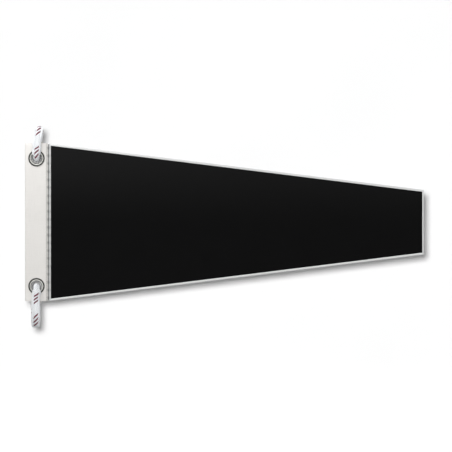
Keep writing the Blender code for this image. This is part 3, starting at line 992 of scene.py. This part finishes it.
def make_rope(side, centre_z, up, rear_rise, front_and_bight, tracer_reach, squareness, looks):
    white, tracer = looks
    local = rear_rise + through_hole() + front_and_bight
    knots = [Vector((EYELET_X + x, y, centre_z + up * z)) for x, y, z in local]
    route = smooth_route(knots, ROPE_POINTS)
    line, along = evenly(smooth_route(knots, 8 * ROPE_POINTS), ROPE_STATIONS)
    axes = rope_frame(line)
    front = np.where(line[:, 1] < -FRONT_RUN_DEPTH)[0]
    target = centre_z + up * tracer_reach
    nearest = front[np.argmin(np.abs(line[front, 2] - target))]
    from_tracer = along - along[nearest]
    reach = np.abs(line[:, 2] - centre_z)
    in_hole = np.exp(-((line[:, 1] / HOLE_STRETCH) ** 6)) * (reach < ROPE_DIAMETER)
    at_fold = smooth_step((reach - reach.max() + FOLD_REACH) / FOLD_REACH)
    places = (in_hole, at_fold, squareness)
    skins, uvs, hollow_shades = [], [], []
    offsets = (np.arange(YARNS) - (YARNS - 1) / 2) / YARNS
    for turn in (1, -1):
        for carrier in range(CARRIERS):
            for number, offset in enumerate(offsets):
                skin, uv, hollow_shade = yarn_skin(
                    line, from_tracer, axes, places, turn, carrier, offset, -up * TRACER_SIDE
                )
                traced = turn == 1 and carrier in (CARRIERS - 1, 0, 1) and number == 1
                skins.append((*skin, int(traced)))
                uvs.append(uv)
                # Painted shade on the yarns' sides, where they dive under, and in the eyelet's
                # throat
                throat_shade = throat_painted_shade(skin[0], centre_z, up)
                hollow_shades.append(np.clip(hollow_shade + throat_shade, 0, DARKEST_SHADE))
    core = swept(tube_rings(line, BRAID_RADIUS - CORE_GAP, CORE_SIDES, axes[0]))
    skins.append((*core, 0))
    uvs.append(np.column_stack([core[0][:, 2], core[0][:, 0]]))
    # The core seen between the yarns is given painted shade
    hollow_shades.append(np.full(len(core[0]), CORE_SHADE))
    name = side + "_loop_braid"
    rope = make_piece(
        name, skins, [white, tracer], np.concatenate(uvs), np.concatenate(hollow_shades)
    )
    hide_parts(side + "_loop_rope")
    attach(rope, side + "_loop")
    return rope, route, along[-1]


def make_binding(side, route, twine):
    """Twine wound round the two butted ends of the rope, its own ends tucked under."""
    join = np.array((route[0] + route[-1]) / 2)
    axis = np.array((route[0] - route[-1]).normalized())
    first = unit(np.array([1.0, 0, 0]) - axis[0] * axis)
    second = np.cross(axis, first)
    turns = BINDING_LENGTH / TWINE_PITCH
    steps = int(turns * TWINE_STEPS)
    angle = np.linspace(0, turns * tau, steps)
    travel = np.linspace(-0.5, 0.5, steps) * (BINDING_LENGTH - 2 * TWINE_RADIUS)
    radius = ROPE_DIAMETER / 2 + TWINE_BED + TWINE_UNEVENNESS * np.sin(angle * 0.37)
    tuck = smooth_step(np.minimum(angle, angle[-1] - angle) / TWINE_TUCK_ANGLE)
    radius = radius - TWINE_RADIUS * TWINE_TUCK * (1 - tuck)
    out = np.cos(angle)[:, None] * first + np.sin(angle)[:, None] * second
    line = join + axis * travel[:, None] + out * radius[:, None]
    skin = swept(tube_rings(line, TWINE_RADIUS, TWINE_SIDES, out))
    distance = angle * ROPE_DIAMETER / 2
    around = np.arange(TWINE_SIDES) / TWINE_SIDES * tau * TWINE_RADIUS
    uv = np.stack(np.meshgrid(distance, around, indexing="ij"), axis=-1).reshape(-1, 2)
    binding = make_piece(side + "_loop_whipping", [skin], [twine], uv)
    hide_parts(side + "_loop_binding")
    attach(binding, side + "_loop")
    return binding


# Stage


def make_camera():
    centre = (cad_low + cad_high) / 2
    data = bpy.data.cameras.new("camera")
    data.type = "ORTHO"
    data.ortho_scale = VIEW_WIDTH * (cad_high.x - cad_low.x)
    camera = bpy.data.objects.new("camera", data)
    camera.location = (centre.x + VIEW_OFFSET[0], -CAMERA_DISTANCE, centre.z + VIEW_OFFSET[1])
    camera.rotation_euler = (pi / 2, 0, 0)
    bpy.context.scene.collection.objects.link(camera)
    bpy.context.scene.camera = camera


def make_world():
    world = bpy.data.worlds.new("studio")
    bpy.context.scene.world = world
    world.use_nodes = True
    tree = world.node_tree
    sky = tree.nodes["Background"]
    backdrop = tree.nodes.new("ShaderNodeBackground")
    sky.inputs["Color"].default_value = (1, 1, 1, 1)
    sky.inputs["Strength"].default_value = SKY_STRENGTH
    backdrop.inputs["Color"].default_value = (1, 1, 1, 1)
    backdrop.inputs["Strength"].default_value = 1.0
    ray = tree.nodes.new("ShaderNodeLightPath")
    chosen = tree.nodes.new("ShaderNodeMixShader")
    tree.links.new(ray.outputs["Is Camera Ray"], chosen.inputs[0])
    tree.links.new(sky.outputs[0], chosen.inputs[1])
    tree.links.new(backdrop.outputs[0], chosen.inputs[2])
    tree.links.new(chosen.outputs[0], tree.nodes["World Output"].inputs[0])
    bpy.context.scene.view_settings.view_transform = "Standard"


def make_light(name, kind, location, target, energy, size):
    data = bpy.data.lights.new(name, kind)
    data.energy = energy
    if kind == "SUN":
        data.angle = size
    else:
        data.shape = "RECTANGLE"
        data.size, data.size_y = size
    light = bpy.data.objects.new(name, data)
    light.location = location
    towards = Vector(target) - Vector(location)
    light.rotation_euler = towards.to_track_quat("-Z", "Y").to_euler()
    bpy.context.scene.collection.objects.link(light)


def make_backdrop(name, profile):
    """A pale sheet that runs along the floor, curves up in a cove and rises as the wall."""
    points = [(x, y, z) for y, z in profile for x in (-STAGE_REACH, STAGE_REACH)]
    strips = range(0, 2 * len(profile) - 2, 2)
    mesh = bpy.data.meshes.new(name)
    mesh.from_pydata(points, [], [(i, i + 1, i + 3, i + 2) for i in strips])
    mesh.shade_smooth()
    backdrop = bpy.data.objects.new(name, mesh)
    bpy.context.scene.collection.objects.link(backdrop)
    return backdrop


def plain_paint(name, colour):
    """Matt paint with a faint mottle."""
    recipe = Recipe(name)
    place = recipe.node("ShaderNodeTexCoord").outputs["Object"]
    grain = recipe.noise(place, 6.0, 2.0)
    dark = tuple(0.975 * part for part in colour)
    return recipe.finish(recipe.ramp(grain, (0.2, dark), (0.8, colour)), 0.9, specular=0.1)


def make_stage():
    down = cad_low.z - FLOOR_DROP
    turn = np.radians(np.linspace(-90, 0, 19))
    bend_y = WALL_DISTANCE - COVE_RADIUS + COVE_RADIUS * np.cos(turn)
    bend_z = down + COVE_RADIUS + COVE_RADIUS * np.sin(turn)
    bend = zip(bend_y.tolist(), bend_z.tolist())
    profile = [(-STAGE_REACH, down), *bend, (WALL_DISTANCE, STAGE_REACH)]
    backdrop = make_backdrop("backdrop", profile)
    backdrop.data.materials.append(plain_paint("white_paper", (0.97, 0.97, 0.97)))
    backdrop.visible_diffuse = False
    backdrop.visible_shadow = False
    across = SHADOW_OFFSET[0] / WALL_DISTANCE
    fall = SHADOW_OFFSET[1] / WALL_DISTANCE
    blur = SHADOW_BLUR / WALL_DISTANCE
    make_light("front_key", "SUN", (-across, -1.0, fall), (0, 0, 0), KEY_STRENGTH * pi, blur)
    for name, place, strength, width in SUNS:
        make_light(name, "SUN", place, (0, 0, 0), strength * pi, width)
    make_light("top", "AREA", (-0.02, -0.16, 0.23), (0, 0, 0.08), TOP_LIGHT_POWER, (0.20, 0.06))


def build():
    # The last colour given to the canvas and to the tape is their painted shade
    canvas = woven(
        "header_canvas_weave", (0.680, 0.664, 0.641), (0.566, 0.552, 0.530), 0.00055, 0.00005, 0.82,
        (0.20, 0.195, 0.185),
    )
    tape = woven(
        "white_tape_weave", (0.67, 0.68, 0.68), (0.52, 0.53, 0.53), 0.00032, 0.00003, 0.75,
        (0.14, 0.14, 0.14),
    )
    # The black cloth's top colour is painted light, making it lighter towards the top
    black = woven(
        "black_cloth_weave", (0.0030, 0.0030, 0.0031), (0.0012, 0.0012, 0.0012), 0.00034, 0.00003,
        0.70, painted_top_light=(0.0080, 0.0080, 0.0081), specular=0.03,
    )
    webbing = woven(
        "stiffener_weave", (0.74, 0.72, 0.66), (0.5, 0.48, 0.43), 0.0009, 0.00010, 0.9,
    )
    thread = yarn_material("seam_thread", (0.74, 0.73, 0.70), (0.50, 0.49, 0.47), 0.0006, 0.6)
    # The last colours of the rope and tracer yarns are painted shade between yarns and in the
    # eyelet's throat
    white = yarn_material(
        "rope_yarn", (0.93, 0.94, 0.95), (0.76, 0.79, 0.82), 0.0009, 0.65, (0.045, 0.047, 0.046)
    )
    tracer = yarn_material(
        "tracer_yarn", (0.17, 0.020, 0.048), (0.08, 0.009, 0.022), 0.0009, 0.6, (0.06, 0.010, 0.020)
    )
    twine = yarn_material("waxed_twine", (0.74, 0.72, 0.64), (0.48, 0.46, 0.40), 0.0007, 0.45)
    metal = metal_material()

    upper, upper_route, upper_length = make_rope(
        "upper", EYELET_Z, 1, UPPER_REAR_RISE, UPPER_FRONT_AND_BIGHT, UPPER_TRACER_REACH, 0,
        (white, tracer),
    )
    lower, lower_route, lower_length = make_rope(
        "lower", -EYELET_Z, -1, LOWER_REAR_RISE, LOWER_FRONT_AND_BIGHT, LOWER_TRACER_REACH,
        FOLD_SQUARENESS, (white, tracer),
    )
    upper_binding = make_binding("upper", upper_route, twine)
    lower_binding = make_binding("lower", lower_route, twine)

    header = make_header(canvas)
    seam = [make_seam_stitches("front", -1, thread), make_seam_stitches("rear", 1, thread)]
    field = make_field(black)
    allowance = make_allowance(tape)
    tapes = [make_tape(side, tape) for side in ("hoist", "top", "bottom", "fly")]
    tape_threads = [
        make_tape_stitches(side, face, sign, thread)
        for side in ("hoist", "top", "bottom", "fly")
        for face, sign in (("front", -1), ("rear", 1))
    ]
    for piece in [field, allowance, *tapes, *tape_threads]:
        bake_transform(piece)
    make_eyelets(metal)
    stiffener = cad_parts["header_stiffener"]
    stiffener.data.materials.clear()
    stiffener.data.materials.append(webbing)


build()
make_camera()
make_world()
make_stage()
